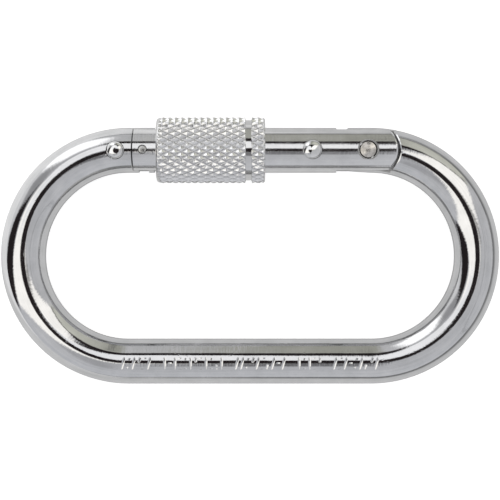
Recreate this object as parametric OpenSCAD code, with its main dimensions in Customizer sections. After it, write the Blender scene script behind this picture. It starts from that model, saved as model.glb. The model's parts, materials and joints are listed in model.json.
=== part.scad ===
// Oval screw-lock carabiner in plated steel.
// The oval lies in the XY plane, +Z is its normal, and the origin is the middle of the oval.
// The gate is on the +Y side, its nose at -X and its hinge at +X.

/* [Oval frame] */
// Diameter of the round bar
bar_d = 10; // [9.8:0.1:10.2]
// Overall length of the oval
oval_length = 111; // [108:0.5:118]
// Overall width of the oval
oval_width = 57; // [56:0.5:60]

/* [Gate] */
// Distance from the oval's middle to the hinge axis
hinge_x = 26.15; // [25:0.05:27]
// Distance from the hinge axis to the closed gate's free end
gate_reach = 52.15; // [51:0.05:53]
// Width of the gap between the two ears
ear_gap = 4; // [3.8:0.1:4.4]
// Clearance on each side of the tang and of the tongue
side_clearance = 0.1; // [0.08:0.01:0.15]
// Radius of the rounded ends of the ears
ear_radius = 6.6; // [6.3:0.05:6.8]
// Gap between the ears and the frame's shoulder
seam_gap = 0.25; // [0.2:0.01:0.4]

/* [Lock sleeve] */
// Length of the sleeve
sleeve_length = 24.15; // [22:0.05:24.5]
// Diameter over the knurl
sleeve_d = 14.7; // [14:0.1:16]
// Place of the sleeve's nose end when it is locked
locked_x = -27.8; // [-27.9:0.05:-27.5]
// How far the sleeve is screwed back from locked in the stored pose
sleeve_back = 7; // [0:0.1:15]
// Pitch of the thread
thread_pitch = 1.5; // [1:0.25:2]

/* [Pins and studs] */
// Diameter of the hinge rivet
rivet_d = 4; // [3.6:0.1:4.4]
// Diameter of the latch pin
latch_pin_d = 2; // [1.8:0.1:2.2]
// Diameter of the domed nose pin
nose_pin_d = 3.86; // [3.6:0.02:4]
// Diameter of the domed gate studs
stud_d = 4.14; // [3.8:0.02:4.4]
// How far the domes stand above the bar
dome_height = 1.3; // [1:0.1:1.8]

/* [Gate spring] */
// Outer diameter of the coil
spring_d = 3.7; // [3.4:0.1:3.8]
// Diameter of the spring wire
wire_d = 0.6; // [0.5:0.05:0.7]
// Number of coils
spring_coils = 9; // [7:1:11]
// Radius of the tang's cam circle, which is also the plunger's offset
cam_radius = 1.5; // [1.4:0.05:1.6]

/* [Hidden] */
$fn = 96;

bar_r = bar_d / 2;
bend_r = (oval_width - bar_d) / 2;
bend_x = oval_length / 2 - bar_r - bend_r;
slab = ear_gap - 2 * side_clearance;
over = 1;

// hinge end, measured from the hinge axis
shoulder_r = ear_radius + seam_gap;
slot_wall = 6.95;
tang_end = 4.85;
tang_corner_r = 0.9;
rivet_r = rivet_d / 2;
rivet_fit = 0.06;
press_gap = 0.01;
rivet_end_z = 4.62;
spotface_z = 4.5;
spotface_r = rivet_r + 0.25;
rivet_chamfer = 0.12;
cam_last_angle = 36;
cam_step = 3;
tang_rise_x = 0.85;

// nose end, measured from the hinge axis
nose_shoulder = gate_reach + 0.2;
pin_reach = gate_reach - 2.2;
notch_half = latch_pin_d / 2 + 0.1;
tongue_end = pin_reach - notch_half - 1.2;
gate_pocket = tongue_end - 0.3;
latch_pin_z = 4.75;
nose_pin_x = -29.8;
nose_pin_y = sqrt(bend_r * bend_r - (nose_pin_x + bend_x) * (nose_pin_x + bend_x));

// gate studs
stud_x = 13.85;
stud_floor = 2.7;
neck_above_bar = 0.1;

// plunger and spring, measured from the hinge axis
bore_r = 2;
plunger_r = bore_r - 0.05;
plunger_length = 5;
plunger_gap = 0.02;
plunger_step_r = 0.95;
plunger_step_length = 2;
spring_length = 14;
spring_end_gap = 0.05;
wire_sides = 6;
coil_steps = 14;

// thread band on the gate
band_x1 = -12.6;
band_x2 = -8.4;
band_r = bar_r + 0.42;
band_groove = 0.3;

// sleeve, measured from its nose end
sleeve_bore_r = band_r + 0.08;
sleeve_lip_r = bar_r + 0.25;
sleeve_edge_r = 1;
sleeve_chamfer = 0.4;
waist_1 = 19.8;
waist_2 = 21.2;
waist_r = 6.7;
ring_width = 1;
ring_side_gap = 0.08;
ring_in_r = bar_r + 0.1;
ring_out_r = 5.95;
ring_fit = 0.07;
ring_split = 2;
sleeve_x = locked_x + sleeve_back;
sleeve_r = sleeve_d / 2;
ring_x = (waist_1 + waist_2) / 2;

// a bar along X on the gate line, from x1 to x2
module gate_bar(r, x1, x2) {
    translate([x1, bend_r, 0])
        rotate([0, 90, 0])
            cylinder(r = r, h = x2 - x1);
}

// an upright cylinder on the hinge axis, from z1 to z2
module hinge_disc(r, z1, z2) {
    translate([hinge_x, bend_r, z1])
        cylinder(r = r, h = z2 - z1, $fn = 180);
}

// a block on the gate line, with y measured from that line
module gate_block(x1, x2, y1, y2, z1, z2) {
    translate([x1, bend_r + y1, z1])
        cube([x2 - x1, y2 - y1, z2 - z1]);
}

// half a turn of bar about the end of the oval
module bend(side) {
    translate([side * bend_x, 0, 0])
        rotate([0, 0, side > 0 ? -90 : 90])
            rotate_extrude(angle = 180)
                translate([bend_r, 0])
                    circle(r = bar_r);
}

// the space left of and below the tang: its edge is the involute of the cam circle, then a slope
// down to the bar's own outline
module tang_clearance() {
    top = [[-tang_end - 4, bar_r + over], [-tang_end + tang_corner_r, bar_r + over]];
    corner = [for (a = [90 : 15 : 180])
        [-tang_end + tang_corner_r + tang_corner_r * cos(a),
         bar_r - tang_corner_r + tang_corner_r * sin(a)]];
    cam = [for (a = [0 : cam_step : cam_last_angle])
        let (reach = tang_end + cam_radius * a * PI / 180)
        [-reach * cos(a) + cam_radius * sin(a), -reach * sin(a) - cam_radius * cos(a)]];
    bottom = [[tang_rise_x, -bar_r], [tang_rise_x, -bar_r - over],
              [-tang_end - 4, -bar_r - over]];
    translate([hinge_x, bend_r, -bar_r - over])
        linear_extrude(2 * (bar_r + over))
            polygon(concat(top, corner, cam, bottom));
}

// everything the gate's free end and its latch pin need inside the nose
module nose_clearance() {
    left = -bend_x;
    right = -bend_x + 8;
    for (side = [0, 1])
        mirror([0, 0, side])
            intersection() {
                hinge_disc(nose_shoulder, slab / 2, bar_r + over);
                gate_block(left, right, -bar_r - over, bar_r + over, slab / 2, bar_r + over);
            }
    intersection() {
        hinge_disc(tongue_end, -slab / 2 - over, slab / 2 + over);
        gate_block(left, right, -bar_r - over, bar_r + over, -slab / 2 - over, slab / 2 + over);
    }
    intersection() {
        difference() {
            hinge_disc(pin_reach + notch_half, -slab / 2 - over, slab / 2 + over);
            hinge_disc(pin_reach - notch_half, -slab / 2 - 2 * over, slab / 2 + 2 * over);
        }
        gate_block(left, right, -bar_r - over, 0, -slab / 2 - over, slab / 2 + over);
    }
    translate([hinge_x - pin_reach, bend_r, -slab / 2 - over])
        cylinder(r = notch_half, h = slab + 2 * over);
}

// bent round bar with the hinge tang at one end and the hooked tongue at the other
module frame() {
    color([0.72, 0.73, 0.74])
    difference() {
        union() {
            translate([-bend_x, -bend_r, 0])
                rotate([0, 90, 0])
                    cylinder(r = bar_r, h = 2 * bend_x);
            bend(-1);
            bend(1);
            gate_bar(bar_r, -bend_x, -bend_x + 7.5);
            gate_bar(bar_r, hinge_x - tang_end - over, bend_x);
        }
        nose_clearance();
        tang_clearance();
        hinge_disc(shoulder_r, slab / 2, bar_r + over);
        hinge_disc(shoulder_r, -bar_r - over, -slab / 2);
        hinge_disc(rivet_r + rivet_fit, -bar_r, bar_r);
        translate([nose_pin_x, nose_pin_y, -bar_r - over])
            cylinder(r = nose_pin_d / 2 + press_gap, h = 2 * (bar_r + over));
    }
}

// outline of a pin that ends in a round dome, from z = bottom up to z = top
module domed_outline(r, bottom, top) {
    neck = bar_r + neck_above_bar;
    rise = top - neck;
    dome_r = (r * r + rise * rise) / (2 * rise);
    translate([0, bottom])
        square([r, neck - bottom]);
    intersection() {
        translate([0, top - dome_r])
            circle(r = dome_r);
        translate([0, neck])
            square([r, rise + over]);
    }
}

// pin pressed through the nose, domed at both ends, that stops the locked sleeve
module nose_stop_pin() {
    color([0.8, 0.81, 0.82])
    translate([nose_pin_x, nose_pin_y, 0])
        rotate_extrude()
            union() {
                domed_outline(nose_pin_d / 2, 0, bar_r + dome_height);
                mirror([0, 1])
                    domed_outline(nose_pin_d / 2, 0, bar_r + dome_height);
            }
}

// swinging round bar: thread band, latch slot, hinge ears, spring bore and stud holes
module gate() {
    color([0.74, 0.75, 0.76])
    difference() {
        union() {
            intersection() {
                gate_bar(bar_r, -bend_x, bend_x + 8);
                hinge_disc(gate_reach, -bar_r - over, bar_r + over);
                union() {
                    hinge_disc(ear_radius, -bar_r - over, bar_r + over);
                    gate_block(-bend_x - over, hinge_x, -bar_r - over, bar_r + over,
                               -bar_r - over, bar_r + over);
                }
            }
            thread_band();
        }
        gate_block(hinge_x - slot_wall, hinge_x + 8, -bar_r - over, bar_r + over,
                   -ear_gap / 2, ear_gap / 2);
        difference() {
            gate_block(-bend_x - over, hinge_x - gate_pocket + over, -bar_r - over, bar_r + over,
                       -ear_gap / 2, ear_gap / 2);
            hinge_disc(gate_pocket, -bar_r, bar_r);
        }
        hinge_disc(rivet_r + press_gap, -bar_r - over, bar_r + over);
        hinge_disc(spotface_r, spotface_z, bar_r + over);
        hinge_disc(spotface_r, -bar_r - over, -spotface_z);
        translate([hinge_x - pin_reach, bend_r, -bar_r - over])
            cylinder(r = latch_pin_d / 2 + press_gap, h = 2 * (bar_r + over));
        translate([0, -cam_radius, 0])
            gate_bar(bore_r, hinge_x - spring_floor(), hinge_x - slot_wall + over);
        for (side = [0, 1])
            mirror([0, 0, side])
                translate([stud_x, bend_r, stud_floor])
                    cylinder(r = stud_d / 2 + press_gap, h = bar_r);
    }
}

// distance from the hinge axis to the bottom of the spring bore
function spring_floor() = tang_end + plunger_gap + plunger_length + spring_length
    + 2 * spring_end_gap;

// raised threaded band on the gate, its grooves drawn as rings
module thread_band() {
    crest = [for (x = [band_x1 + thread_pitch / 2 : thread_pitch : band_x2 - thread_pitch / 2])
        each [[band_r, x - band_groove], [band_r - band_groove, x],
              [band_r, x + band_groove]]];
    outline = concat([[bar_r - over, band_x1], [band_r - band_groove, band_x1],
                      [band_r, band_x1 + band_groove]], crest,
                     [[band_r, band_x2 - band_groove], [band_r - band_groove, band_x2],
                      [bar_r - over, band_x2]]);
    translate([0, bend_r, 0])
        rotate([0, 90, 0])
            rotate_extrude()
                polygon(outline);
}

// rivet that the gate swings on, pressed into both ears
module hinge_rivet() {
    color([0.6, 0.58, 0.55])
    translate([hinge_x, bend_r, 0])
        rotate_extrude()
            polygon([[0, -rivet_end_z], [rivet_r - rivet_chamfer, -rivet_end_z],
                     [rivet_r, -rivet_end_z + rivet_chamfer],
                     [rivet_r, rivet_end_z - rivet_chamfer],
                     [rivet_r - rivet_chamfer, rivet_end_z], [0, rivet_end_z]]);
}

// cross pin in the gate's free end that drops into the nose's hook
module latch_pin() {
    color([0.66, 0.66, 0.66])
    translate([hinge_x - pin_reach, bend_r, -latch_pin_z])
        cylinder(r = latch_pin_d / 2, h = 2 * latch_pin_z);
}

// short domed stud in the gate that stops the screwed-back sleeve
module gate_stop_stud() {
    color([0.8, 0.81, 0.82])
    translate([stud_x, bend_r, 0])
        rotate_extrude()
            domed_outline(stud_d / 2, stud_floor + press_gap, bar_r + dome_height);
}

module gate_stop_stud_front() {
    gate_stop_stud();
}

module gate_stop_stud_back() {
    mirror([0, 0, 1])
        gate_stop_stud();
}

// plunger that the spring presses against the tang's cam
module spring_plunger() {
    tip = hinge_x - tang_end - plunger_gap;
    color([0.55, 0.56, 0.58])
    translate([0, -cam_radius, 0])
        union() {
            gate_bar(plunger_r, tip - plunger_length, tip);
            gate_bar(plunger_step_r, tip - plunger_length - plunger_step_length,
                     tip - plunger_length + over / 2);
        }
}

// compression coil inside the gate
module gate_spring() {
    r = spring_d / 2 - wire_d / 2;
    steps = spring_coils * coil_steps;
    rise = spring_length - wire_d;
    start = hinge_x - spring_floor() + spring_end_gap + wire_d / 2;
    points = [for (i = [0 : steps], j = [0 : wire_sides - 1])
        let (a = 360 * i / coil_steps, b = 360 * j / wire_sides,
             d = r + wire_d / 2 * cos(b))
        [start + rise * i / steps + wire_d / 2 * sin(b),
         bend_r - cam_radius + d * cos(a), d * sin(a)]];
    sides = [for (i = [0 : steps - 1], j = [0 : wire_sides - 1])
        let (k = (j + 1) % wire_sides)
        each [[i * wire_sides + j, (i + 1) * wire_sides + j, (i + 1) * wire_sides + k],
              [i * wire_sides + j, (i + 1) * wire_sides + k, i * wire_sides + k]]];
    first = [for (j = [0 : wire_sides - 1]) j];
    last = [for (j = [wire_sides - 1 : -1 : 0]) steps * wire_sides + j];
    color([0.5, 0.52, 0.55])
        polyhedron(points = points, faces = concat(sides, [first, last]));
}

// split wire ring in the sleeve that keeps it from screwing off an open gate
module sleeve_retaining_ring() {
    color([0.5, 0.5, 0.52])
    difference() {
        gate_bar(ring_out_r, sleeve_x + ring_x - ring_width / 2, sleeve_x + ring_x + ring_width / 2);
        gate_bar(ring_in_r, sleeve_x + ring_x - over, sleeve_x + ring_x + over);
        gate_block(sleeve_x + ring_x - over, sleeve_x + ring_x + over, -bar_r - 2 * over, 0,
                   -ring_split / 2, ring_split / 2);
    }
}

// turned sleeve with a rounded nose end, a smooth waist and a groove inside for the ring
module lock_sleeve() {
    half = ring_width / 2 + ring_side_gap;
    edge = [for (a = [180 : -10 : 90])
        [sleeve_r - sleeve_edge_r + sleeve_edge_r * sin(a),
         sleeve_edge_r + sleeve_edge_r * cos(a)]];
    outside = [[sleeve_r, waist_1 - 0.2], [waist_r, waist_1 + 0.1], [waist_r, waist_2 - 0.1],
               [sleeve_r, waist_2 + 0.2], [sleeve_r, sleeve_length - sleeve_chamfer],
               [sleeve_r - sleeve_chamfer, sleeve_length]];
    inside = [[sleeve_lip_r, sleeve_length], [sleeve_lip_r, ring_x + half],
              [ring_out_r + ring_fit, ring_x + half], [ring_out_r + ring_fit, ring_x - half],
              [sleeve_bore_r, ring_x - half], [sleeve_bore_r, 0]];
    color([0.85, 0.85, 0.85])
    translate([sleeve_x, bend_r, 0])
        rotate([0, 90, 0])
            rotate_extrude()
                polygon(concat(edge, outside, inside));
}

frame();
nose_stop_pin();
gate();
hinge_rivet();
latch_pin();
gate_stop_stud_front();
gate_stop_stud_back();
spring_plunger();
gate_spring();
sleeve_retaining_ring();
lock_sleeve();
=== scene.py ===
"""An oval screw-lock carabiner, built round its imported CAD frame.

Lengths are in millimetres up to make_mesh(), and in metres for the stage."""

import json
import math

import bpy
import numpy as np
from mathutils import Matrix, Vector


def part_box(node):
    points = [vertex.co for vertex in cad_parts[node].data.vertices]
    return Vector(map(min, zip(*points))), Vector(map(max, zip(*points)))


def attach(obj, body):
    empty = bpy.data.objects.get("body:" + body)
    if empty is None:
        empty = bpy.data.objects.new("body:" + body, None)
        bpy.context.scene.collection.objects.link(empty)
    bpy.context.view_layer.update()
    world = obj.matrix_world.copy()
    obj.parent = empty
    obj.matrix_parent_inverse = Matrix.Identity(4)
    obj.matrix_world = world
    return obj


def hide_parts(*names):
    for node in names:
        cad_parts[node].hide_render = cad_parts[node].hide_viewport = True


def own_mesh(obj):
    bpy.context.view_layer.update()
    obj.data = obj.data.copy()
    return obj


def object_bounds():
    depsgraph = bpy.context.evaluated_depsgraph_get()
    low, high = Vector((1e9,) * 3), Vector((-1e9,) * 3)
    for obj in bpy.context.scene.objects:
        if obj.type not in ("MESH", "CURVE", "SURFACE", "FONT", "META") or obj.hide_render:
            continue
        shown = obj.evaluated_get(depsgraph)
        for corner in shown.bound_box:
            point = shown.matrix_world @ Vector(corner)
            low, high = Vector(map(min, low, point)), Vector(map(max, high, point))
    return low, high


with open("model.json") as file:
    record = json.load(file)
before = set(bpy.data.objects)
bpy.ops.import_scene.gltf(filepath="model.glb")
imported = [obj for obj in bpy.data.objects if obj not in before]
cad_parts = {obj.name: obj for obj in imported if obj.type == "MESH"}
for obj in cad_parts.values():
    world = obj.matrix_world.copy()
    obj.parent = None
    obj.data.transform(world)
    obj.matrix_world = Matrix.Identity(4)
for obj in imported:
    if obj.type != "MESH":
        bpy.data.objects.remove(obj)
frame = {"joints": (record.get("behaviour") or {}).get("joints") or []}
cad_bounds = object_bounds()
MM = 0.001


# ---- sizes read from the frame

def box_mm(node):
    low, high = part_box(node)
    return np.array(low) / MM, np.array(high) / MM


def middle(node):
    low, high = box_mm(node)
    return (low + high) / 2


def half_size(node):
    low, high = box_mm(node)
    return (high - low) / 2


def joint(name):
    return next(j for j in frame["joints"] if j["name"] == name)


FRAME_HIGH = box_mm("frame")[1]
BAR_R = FRAME_HIGH[2]
BEND_R = FRAME_HIGH[1] - BAR_R
BEND_X = FRAME_HIGH[0] - BAR_R - BEND_R
HALF_TURN = math.pi * BEND_R
HINGE_X, GATE_Y = (v / MM for v in joint("gate_swing")["pos_m"][:2])
SLEEVE_X, SLEEVE_END = (corner[0] for corner in box_mm("lock_sleeve"))
SLEEVE_LENGTH, SLEEVE_R = SLEEVE_END - SLEEVE_X, half_size("lock_sleeve")[2]
THREAD_PITCH = 1.5

# Hinge end, from the hinge axis. EAR_GAP is half the ears' slot, and SLAB half the tang's thickness.
EAR_R = 6.6
SHOULDER_R = EAR_R + 0.40
EAR_END = EAR_R - 0.10
SLOT_WALL = 6.95
EAR_GAP = 2.0
SLAB, SLAB_PAST = 1.9, 0.5
TANG_END = 4.85
TANG_CORNER = 0.9
TANG_RISE_X = 0.85
CAM_R = 1.5
CAM_LAST, CAM_STEP = 36, 2
RIVET_R = 2.0
RIVET_PLAY, RIVET_FIT = 0.06, 0.01
SPOTFACE, SPOTFACE_Z = 0.36, 4.5

# Nose end, from the hinge axis.
GATE_REACH = 52.15
NOSE_SHOULDER = GATE_REACH + 0.2
PIN_REACH = GATE_REACH - 2.2
NOTCH = 1.1
TONGUE_END = PIN_REACH - NOTCH - 1.2
GATE_POCKET = TONGUE_END - 0.3
LATCH_HOLE_R = 1.01

# Holes in the gate and the frame.
STUD_HOLE_Z, STUD_PLAY = 2.7, 0.09
NOSE_PIN_PLAY = 0.1
SPRING_BORE_R, SPRING_PLAY = 2.0, 0.05

# V-grooves along the seams: half width and depth, and how far they stay from the slots.
HINGE_CHAMFER, EAR_CHAMFER, NOSE_CHAMFER = (0.36, 0.2), (0.3, 0.16), (0.12, 0.12)
SLAB_CLEAR, EAR_CLEAR = 0.1, 0.15


# ---- mesh tools

def make_mesh(name, points, faces, smooth=True):
    mesh = bpy.data.meshes.new(name)
    mesh.from_pydata((np.asarray(points) * MM).tolist(), [], faces)
    mesh.validate()
    mesh.polygons.foreach_set("use_smooth", [smooth] * len(mesh.polygons))
    mesh.update()
    obj = bpy.data.objects.new(name, mesh)
    bpy.context.scene.collection.objects.link(obj)
    return obj


def grid_faces(rows, cols, wrap_rows=False):
    """Quads of a grid of points, row by row. Each row is a closed loop of cols points."""
    faces = []
    for i in range(rows if wrap_rows else rows - 1):
        k = (i + 1) % rows
        for j in range(cols):
            m = (j + 1) % cols
            faces.append((i * cols + j, i * cols + m, k * cols + m, k * cols + j))
    return faces


def capped_faces(rows, cols):
    """The same grid, closed with a flat face at each end."""
    last = (rows - 1) * cols
    return grid_faces(rows, cols) + [tuple(reversed(range(cols))), tuple(range(last, last + cols))]


def round_angles(steps):
    return np.linspace(0, 2 * math.pi, steps, endpoint=False)


def turned(name, outline, centre, axis, steps=96):
    """A closed solid of revolution: outline is (radius, height) from the axis and back to it."""
    outline = np.array(outline, float)
    a = round_angles(steps)
    ring = outline[1:-1]
    r, h = ring[:, 0][:, None], ring[:, 1][:, None]
    cos, sin = r * np.cos(a), r * np.sin(a)
    flat = h + 0 * a
    parts = {"z": (cos, sin, flat), "x": (flat, cos, sin)}[axis]
    points = np.stack(parts, -1).reshape(-1, 3)
    tips = np.zeros((2, 3))
    tips[:, 2 if axis == "z" else 0] = outline[[0, -1], 1]
    rows = len(ring)
    faces = grid_faces(rows, steps)
    first, last = len(points), len(points) + 1
    faces += [(first, (j + 1) % steps, j) for j in range(steps)]
    end = (rows - 1) * steps
    faces += [(last, end + j, end + (j + 1) % steps) for j in range(steps)]
    return make_mesh(name, np.vstack([points, tips]) + np.array(centre), faces)


def prism(outline, z1, z2):
    """Points and faces of an upright prism over a closed outline, placed from the hinge axis."""
    outline = np.array(outline, float)
    n = len(outline)
    points = np.vstack([np.column_stack([outline, np.full(n, z)]) for z in (z1, z2)])
    faces = [tuple(reversed(range(n))), tuple(range(n, 2 * n))]
    faces += [(j, (j + 1) % n, n + (j + 1) % n, n + j) for j in range(n)]
    return at_hinge(points), faces


def at_hinge(points):
    return points + np.array([HINGE_X, GATE_Y, 0])


def arc(radius, start, stop, steps, centre=(0, 0)):
    a = np.radians(np.linspace(start, stop, steps))
    return [(centre[0] + radius * math.cos(t), centre[1] + radius * math.sin(t)) for t in a]


def anticlockwise(outline):
    p = np.array(outline)
    q = np.roll(p, -1, 0)
    area = np.sum(p[:, 0] * q[:, 1] - q[:, 0] * p[:, 1]) / 2
    return outline[::-1] if area < 0 else outline


def outward(part):
    """The same closed mesh with its faces turned to look out."""
    points, faces = part
    volume = 0.0
    for f in faces:
        p = points[list(f)]
        for k in range(1, len(f) - 1):
            volume += np.dot(p[0], np.cross(p[k], p[k + 1]))
    return part if volume > 0 else (points, [tuple(reversed(f)) for f in faces])


def joined(parts):
    """One mesh's points and faces from several."""
    points, faces, start = [], [], 0
    for p, f in parts:
        points.append(p)
        faces += [tuple(i + start for i in face) for face in f]
        start += len(p)
    return np.vstack(points), faces


def cut(obj, parts):
    """Takes the solids away from obj."""
    points, faces = joined([outward(p) for p in parts])
    tool = make_mesh("cutter", points, faces, smooth=False)
    modifier = obj.modifiers.new("cut", "BOOLEAN")
    modifier.operation, modifier.solver, modifier.use_self = "DIFFERENCE", "EXACT", True
    modifier.object = tool
    bpy.context.view_layer.update()
    done = bpy.data.meshes.new_from_object(obj.evaluated_get(bpy.context.evaluated_depsgraph_get()))
    obj.modifiers.clear()
    obj.data = done
    bpy.data.objects.remove(tool)


# ---- the bar's own shape

CUT_DEPTH = 0.35
ON_SURFACE, FACING = 0.02, 0.9
CREASE = 32


def on_bar(p):
    """For points near the bar: place along it, outward direction in the plane, offsets from its middle."""
    x, y, z = p[:, 0], p[:, 1], p[:, 2]
    side = np.where(x < -BEND_X, -1.0, np.where(x > BEND_X, 1.0, 0.0))
    cx = np.where(side == 0, x, side * BEND_X)
    dx, dy = x - cx, y
    rho = np.maximum(np.hypot(dx, dy), 1e-9)
    ex = np.where(side == 0, 0.0, dx / rho)
    ey = np.where(side == 0, np.sign(y), dy / rho)
    left = BEND_X + HALF_TURN / 2 - np.arctan2(dy, -dx) * BEND_R
    right = 3 * BEND_X + HALF_TURN + np.arctan2(dy, dx) * BEND_R + HALF_TURN / 2
    line = np.where(y > 0, -x, 2 * BEND_X + HALF_TURN + x)
    along = np.where(side < 0, left, np.where(side > 0, right, line))
    return along, ex, ey, np.where(side == 0, np.abs(y), rho) - BEND_R, z


def frame_surface(co):
    """Laid-out place, exact normal and height over the surface, for points of the frame's bar."""
    s, ex, ey, out, z = on_bar(co)
    size = np.maximum(np.hypot(out, z), 1e-9)
    normal = np.column_stack([out * ex, out * ey, z]) / size[:, None]
    return np.column_stack([s, out, z]), normal, size - BAR_R


def gate_surface(co):
    """The same three for points of the gate."""
    y, z = co[:, 1] - GATE_Y, co[:, 2]
    size = np.maximum(np.hypot(y, z), 1e-9)
    normal = np.column_stack([0 * y, y, z]) / size[:, None]
    return np.column_stack([co[:, 0], y, z]), normal, size - BAR_R


def read_vectors(items, key, count):
    """count 3-vectors of a mesh collection, as rows."""
    values = np.zeros(count * 3)
    items.foreach_get(key, values)
    return values.reshape(-1, 3)


def shade(obj, on_surface):
    """Exact normals on the bar's own surface and smooth ones elsewhere, up to the crease angle.

    The attribute "along", which the materials read, is the place on the bar laid out straight. Faces well
    inside the bar, left by a cut, take the second material."""
    mesh = obj.data
    mesh.polygons.foreach_set("use_smooth", [True] * len(mesh.polygons))
    along, normal, height = on_surface(read_vectors(mesh.vertices, "co", len(mesh.vertices)) / MM)
    loops = np.zeros(len(mesh.loops), int)
    mesh.loops.foreach_get("vertex_index", loops)
    count = len(mesh.polygons)
    totals = np.zeros(count, int)
    mesh.polygons.foreach_get("loop_total", totals)
    face_of = np.repeat(np.arange(count), totals)
    face_normal = read_vectors(mesh.polygons, "normal", count)
    agree = np.einsum("ij,ij->i", face_normal[face_of], normal[loops])
    bar_face = np.ones(count, bool)
    np.logical_and.at(bar_face, face_of, (np.abs(height[loops]) < ON_SURFACE) & (agree > FACING))
    mesh.set_sharp_from_angle(angle=math.radians(CREASE))
    smooth = read_vectors(mesh.corner_normals, "vector", len(loops))
    mesh.normals_split_custom_set(np.where(bar_face[face_of][:, None], normal[loops], smooth).tolist())
    centre = read_vectors(mesh.polygons, "center", count)
    # The second material's dark tone is raw steel and partly painted shade in the seams, slots and spotfaces.
    inner = (on_surface(centre / MM)[2] < -CUT_DEPTH) & ~bar_face
    mesh.polygons.foreach_set("material_index", inner.astype(np.int32))
    attribute = mesh.attributes.new("along", "FLOAT_VECTOR", "POINT")
    attribute.data.foreach_set("vector", (along * MM).astype(np.float32).ravel())
    mesh.update()


BAR_SIDES, SECTION_STEP = 128, 0.8
NOSE_BLANK = 7.5
TANG_BLANK_X = HINGE_X - TANG_END - 1


def centreline(step):
    """Points and outward directions along the oval, from the nose round to the hinge."""
    def line(a, b, y):
        n = max(2, int(abs(b - a) / step))
        return [((x, y), (0, math.copysign(1, y))) for x in np.linspace(a, b, n, endpoint=False)]

    def turn(cx, a, b):
        n = int(HALF_TURN / step)
        return [((cx + BEND_R * math.cos(t), BEND_R * math.sin(t)), (math.cos(t), math.sin(t)))
                for t in np.linspace(a, b, n, endpoint=False)]

    quarter = math.pi / 2
    stations = line(-BEND_X + NOSE_BLANK, -BEND_X, GATE_Y)
    stations += turn(-BEND_X, quarter, 3 * quarter)
    stations += line(-BEND_X, BEND_X, -BEND_R)
    stations += turn(BEND_X, -quarter, quarter)
    stations += line(BEND_X, TANG_BLANK_X, GATE_Y)
    stations.append(((TANG_BLANK_X, GATE_Y), (0, 1)))
    return stations


def swept_bar(name):
    a = round_angles(BAR_SIDES)
    rows = []
    for (cx, cy), (ex, ey) in centreline(SECTION_STEP):
        out, z = BAR_R * np.cos(a), BAR_R * np.sin(a)
        rows.append(np.column_stack([cx + out * ex, cy + out * ey, z]))
    return make_mesh(name, np.vstack(rows), capped_faces(len(rows), BAR_SIDES))


# ---- cutters

# WIDE reaches past the bar, and ABOVE is how far a groove's cutter stands over it.
WIDE = BAR_R + 1
ABOVE = 0.3
NOSE_CUT = 14
NOSE_PAST, POCKET_PAST, EAR_PAST, TANG_PAST = 4, 3, 3, 4
NOSE_STEPS, EAR_STEPS, NOTCH_STEPS, SEAT_STEPS, CORNER_STEPS = 40, 60, 10, 24, 10
SEAM_STEPS = 60
SEAM_SEARCH, SEARCH_STEPS = 0.6, 40


def edge_angle(radius):
    """Where an arc about the hinge axis leaves the bar, in degrees from the bar's line."""
    return np.degrees(math.asin(WIDE / radius))


def inside_arc(radius, z1, z2):
    """What lies between an arc at the nose and the hinge, as far as the cuts there reach."""
    edge, far = edge_angle(radius), -HINGE_X - BEND_X + NOSE_CUT
    return prism(arc(radius, 180 - edge, 180 + edge, NOSE_STEPS) + [(far, -WIDE), (far, WIDE)], z1, z2)


def beyond_nose_arc(radius, past, z):
    """What lies past an arc at the nose, on both sides of mid-depth as far as z."""
    edge, far = edge_angle(radius), -GATE_REACH - past
    return prism(arc(radius, 180 + edge, 180 - edge, NOSE_STEPS) + [(far, WIDE), (far, -WIDE)], -z, z)


def ear_trim():
    """What lies beyond the ears' round ends."""
    edge, far = edge_angle(EAR_END), EAR_END + EAR_PAST
    outline = arc(EAR_END, -edge, edge, EAR_STEPS) + [(far, WIDE), (far, -WIDE)]
    return prism(anticlockwise(outline), -WIDE, WIDE)


def disc(radius, z1, z2, x=0.0, y=0.0, steps=128):
    return prism(arc(radius, 0, 360 - 360 / steps, steps, (x, y)), z1, z2)


def block(x1, x2, y1, y2, z1, z2):
    return prism([(x1, y1), (x2, y1), (x2, y2), (x1, y2)], z1, z2)


def bored(radius, x1, x2, y, steps=48):
    """A bore along X, from the hinge axis."""
    a = round_angles(steps)
    rows = [np.column_stack([np.full(steps, x), y + radius * np.cos(a), radius * np.sin(a)])
            for x in (x1, x2)]
    return at_hinge(np.vstack(rows)), capped_faces(2, steps)


def hook_notch():
    """The slot the latch pin swings through, with its round seat."""
    edge = np.degrees(WIDE / PIN_REACH)
    outline = arc(PIN_REACH + NOTCH, 180 + edge, 180, NOTCH_STEPS)
    outline += arc(NOTCH, 180, 0, SEAT_STEPS, (-PIN_REACH, 0))[1:-1]
    outline += arc(PIN_REACH - NOTCH, 180, 180 + edge, NOTCH_STEPS)
    return prism(outline, -SLAB - 2 * SLAB_PAST, SLAB + 2 * SLAB_PAST)


def tang_clearance():
    """What lies on the gate's side of the tang, whose end is an involute of the cam circle."""
    left = -TANG_END - TANG_PAST
    corner = (-TANG_END + TANG_CORNER, BAR_R - TANG_CORNER)
    points = [(left, WIDE), (corner[0], WIDE)] + arc(TANG_CORNER, 90, 180, CORNER_STEPS, corner)
    for a in np.arange(0, CAM_LAST + 1, CAM_STEP):
        t = math.radians(a)
        reach = TANG_END + CAM_R * t
        points.append((-reach * math.cos(t) + CAM_R * math.sin(t),
                       -reach * math.sin(t) - CAM_R * math.cos(t)))
    points += [(TANG_RISE_X, -BAR_R), (TANG_RISE_X, -WIDE), (left, -WIDE)]
    return prism(anticlockwise(points), -WIDE, WIDE)


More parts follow.
